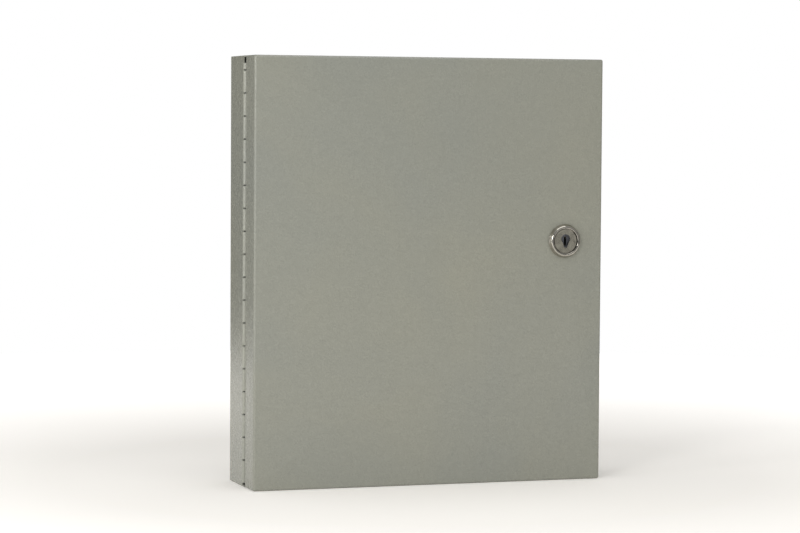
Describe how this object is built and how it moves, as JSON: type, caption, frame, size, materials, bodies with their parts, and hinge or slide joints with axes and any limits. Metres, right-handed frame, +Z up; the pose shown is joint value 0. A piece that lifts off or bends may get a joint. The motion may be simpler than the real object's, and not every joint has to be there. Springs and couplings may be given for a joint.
{
  "type": "fire alarm control panel",
  "caption": "Shallow wall cabinet of folded steel with a piano-hinged, cam-locked door over a fire alarm control board, mains transformer and standby batteries.",
  "frame": {"origin": "centre of the cabinet's back face, where it meets the wall; also the centre of the wall screw pattern", "axes": "+X to the right seen from the front, +Y into the wall, +Z up; the door faces -Y"},
  "size_m": [0.3062, 0.0804, 0.3556],
  "materials": {
    "powder_coat": "fine-textured satin powder coat",
    "zinc_steel": "zinc plated, satin",
    "hinge_pin_steel": "drawn bright steel",
    "chrome": "polished chrome plate",
    "satin_nickel": "satin nickel plate",
    "wafer_brass": "stamped brass",
    "board_laminate": "green solder mask over glass laminate",
    "terminal_plastic": "moulded green",
    "chip_plastic": "moulded black epoxy",
    "relay_plastic": "moulded white",
    "can_sleeve": "shrunk dark blue sleeve",
    "resistor_body": "tan lacquer",
    "black_plastic": "moulded black",
    "anodised_black": "black anodised",
    "tin_plate": "bright tin plate",
    "clear_glass": "clear tube",
    "lamp_red": "tinted clear epoxy",
    "lamp_yellow": "tinted clear epoxy",
    "lamp_green": "tinted clear epoxy",
    "core_steel": "varnished lamination stack",
    "coil_wrap": "varnished amber tape",
    "wire_black": "extruded vinyl",
    "wire_red": "extruded vinyl",
    "wire_yellow": "extruded vinyl",
    "wire_green": "extruded vinyl",
    "clear_cover": "clear moulded polycarbonate",
    "battery_plastic": "moulded dark grey",
    "socket_plastic": "moulded natural nylon",
    "sheet_paper": "matt printed sheet",
    "cap_yellow": "moulded yellow",
    "cap_blue": "moulded blue",
    "cap_red": "moulded red"
  },
  "bodies": {
    "cabinet": {"back_box": "powder_coat", "hinge_box_leaf": "powder_coat", "hinge_pin": "hinge_pin_steel", "weld_studs": "zinc_steel", "hex_nuts": "zinc_steel", "board_standoffs": "zinc_steel", "main_board": "board_laminate", "board_screws": "zinc_steel", "field_terminals": "terminal_plastic", "terminal_screws": "zinc_steel", "processor": "chip_plastic", "logic_chips": "chip_plastic", "crystal": "tin_plate", "relays": "relay_plastic", "capacitor_cans": "can_sleeve", "resistors": "resistor_body", "diodes": "chip_plastic", "pin_headers": "black_plastic", "heat_sink": "anodised_black", "power_transistors": "chip_plastic", "transistor_screws": "zinc_steel", "fuse_clips": "tin_plate", "fuse_tubes": "clear_glass", "fuse_caps": "tin_plate", "alarm_lamps": "lamp_red", "trouble_lamps": "lamp_yellow", "power_lamp": "lamp_green", "sounder": "black_plastic", "switch_bases": "black_plastic", "lead_sockets": "socket_plastic", "transformer_core": "core_steel", "transformer_coil": "coil_wrap", "transformer_bracket": "zinc_steel", "primary_leads": "wire_black", "secondary_leads": "wire_yellow", "mains_terminal": "black_plastic", "mains_screws": "tin_plate", "mains_cover": "clear_cover", "earth_ring": "tin_plate", "earth_lead": "wire_green", "battery_cases": "battery_plastic", "battery_lids": "battery_plastic", "battery_tabs": "tin_plate", "battery_connectors": "socket_plastic", "battery_lead_red": "wire_red", "battery_lead_black": "wire_black", "battery_jumper": "wire_red"},
    "door": {"door": "powder_coat", "hinge_door_leaf": "powder_coat", "wiring_sheet": "sheet_paper", "lock_housing": "chrome", "lock_washer": "zinc_steel", "lock_nut": "zinc_steel"},
    "lock_plug": {"lock_plug": "satin_nickel", "lock_wafers": "wafer_brass", "lock_cam": "zinc_steel", "cam_screw": "zinc_steel"},
    "silence_button": {"silence_button": "cap_yellow"},
    "acknowledge_button": {"acknowledge_button": "cap_blue"},
    "reset_button": {"reset_button": "cap_red"}
  },
  "joints": [
    {"name": "door_swing", "type": "hinge", "parent": "cabinet", "child": "door", "pos_m": [-0.1515, -0.0457, 0], "axis": [0, 0, -1], "range_deg": [0, 150]},
    {"name": "lock_turn", "type": "hinge", "parent": "door", "child": "lock_plug", "pos_m": [0.1184, -0.0762, 0.0248], "axis": [0, -1, 0], "range_deg": [0, 90]},
    {"name": "silence_press", "type": "slide", "parent": "cabinet", "child": "silence_button", "axis": [0, 1, 0], "range_m": [0, 0.0008], "stiffness_N_per_m": 800, "springref_m": -0.001},
    {"name": "acknowledge_press", "type": "slide", "parent": "cabinet", "child": "acknowledge_button", "axis": [0, 1, 0], "range_m": [0, 0.0008], "stiffness_N_per_m": 800, "springref_m": -0.001},
    {"name": "reset_press", "type": "slide", "parent": "cabinet", "child": "reset_button", "axis": [0, 1, 0], "range_m": [0, 0.0008], "stiffness_N_per_m": 800, "springref_m": -0.001}
  ]
}
